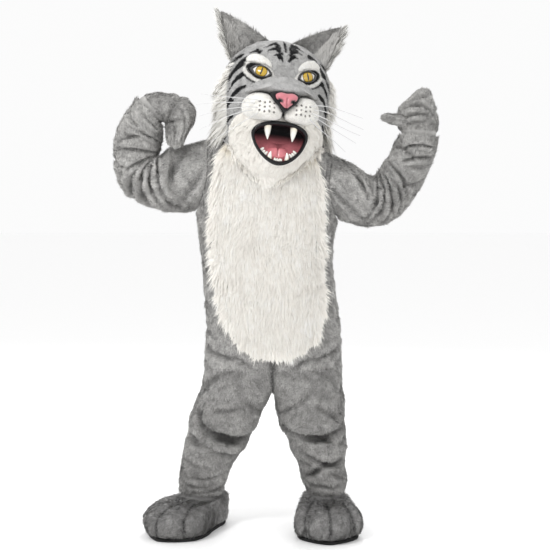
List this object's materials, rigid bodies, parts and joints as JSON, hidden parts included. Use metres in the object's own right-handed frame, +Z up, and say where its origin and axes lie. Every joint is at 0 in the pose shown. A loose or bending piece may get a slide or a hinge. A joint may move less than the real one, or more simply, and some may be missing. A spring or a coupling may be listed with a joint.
{
  "type": "wildcat costume",
  "caption": "Full-body wildcat costume in grey plush with a white belly, an open-mouthed furred head, mitts and foot covers, in a worn pose.",
  "frame": {"origin": "between the wearer's shoulders at the base of the neck, where the costume hangs on the wearer", "axes": "+Z up, the costume faces -Y, +X is the wearer's left"},
  "size_m": [1.2203, 0.4792, 1.956],
  "materials": {
    "grey_plush": "short matted pile",
    "dark_plush": "short pile, darker",
    "white_fur": "long soft pile",
    "black_sole": "matt",
    "black_rubber": "semi-gloss",
    "pink_rubber": "soft matt",
    "pink_cloth": "short pile",
    "eye_plastic": "glossy",
    "tooth_plastic": "glossy",
    "bristle": "stiff bristle",
    "zip_tape": "woven tape with a coil",
    "zip_metal": "worn"
  },
  "bodies": {
    "suit": {"back_zip_tape": "zip_tape", "belly_panel": "white_fur", "brow_left": "white_fur", "brow_right": "white_fur", "cheek_ruff_left": "white_fur", "cheek_ruff_right": "white_fur", "chin_bib": "white_fur", "ear_fringe_left": "white_fur", "ear_fringe_right": "white_fur", "ear_left": "grey_plush", "ear_right": "grey_plush", "eye_left": "eye_plastic", "eye_right": "eye_plastic", "eye_rim_left": "black_rubber", "eye_rim_right": "black_rubber", "fang_lower_left": "tooth_plastic", "fang_lower_right": "tooth_plastic", "fang_upper_left": "tooth_plastic", "fang_upper_right": "tooth_plastic", "foot_left": "dark_plush", "foot_right": "dark_plush", "head_back": "grey_plush", "head_crown": "grey_plush", "head_face": "grey_plush", "incisors": "tooth_plastic", "leg_left": "grey_plush", "leg_right": "grey_plush", "lip": "black_rubber", "mitt_left": "grey_plush", "mitt_right": "grey_plush", "molars_left": "tooth_plastic", "molars_right": "tooth_plastic", "mouth_lining": "black_rubber", "muzzle_left": "white_fur", "muzzle_right": "white_fur", "nose": "pink_rubber", "nose_bridge": "grey_plush", "sleeve_left": "grey_plush", "sleeve_right": "grey_plush", "sole_left": "black_sole", "sole_right": "black_sole", "suit_back_left": "grey_plush", "suit_back_right": "grey_plush", "suit_front_left": "grey_plush", "suit_front_right": "grey_plush", "thumb_left": "grey_plush", "tongue": "pink_cloth", "whisker_left_1": "bristle", "whisker_left_2": "bristle", "whisker_left_3": "bristle", "whisker_left_4": "bristle", "whisker_left_5": "bristle", "whisker_right_1": "bristle", "whisker_right_2": "bristle", "whisker_right_3": "bristle", "whisker_right_4": "bristle", "whisker_right_5": "bristle", "zip_slider": "zip_metal"},
    "zip_pull": {"zip_pull": "zip_metal"}
  },
  "joints": [
    {"name": "zip_pull_swing", "type": "hinge", "parent": "suit", "child": "zip_pull", "pos_m": [-0.01219, 0.16304, -0.00594], "axis": [1, 0, 0], "range_deg": [0, 160]}
  ]
}
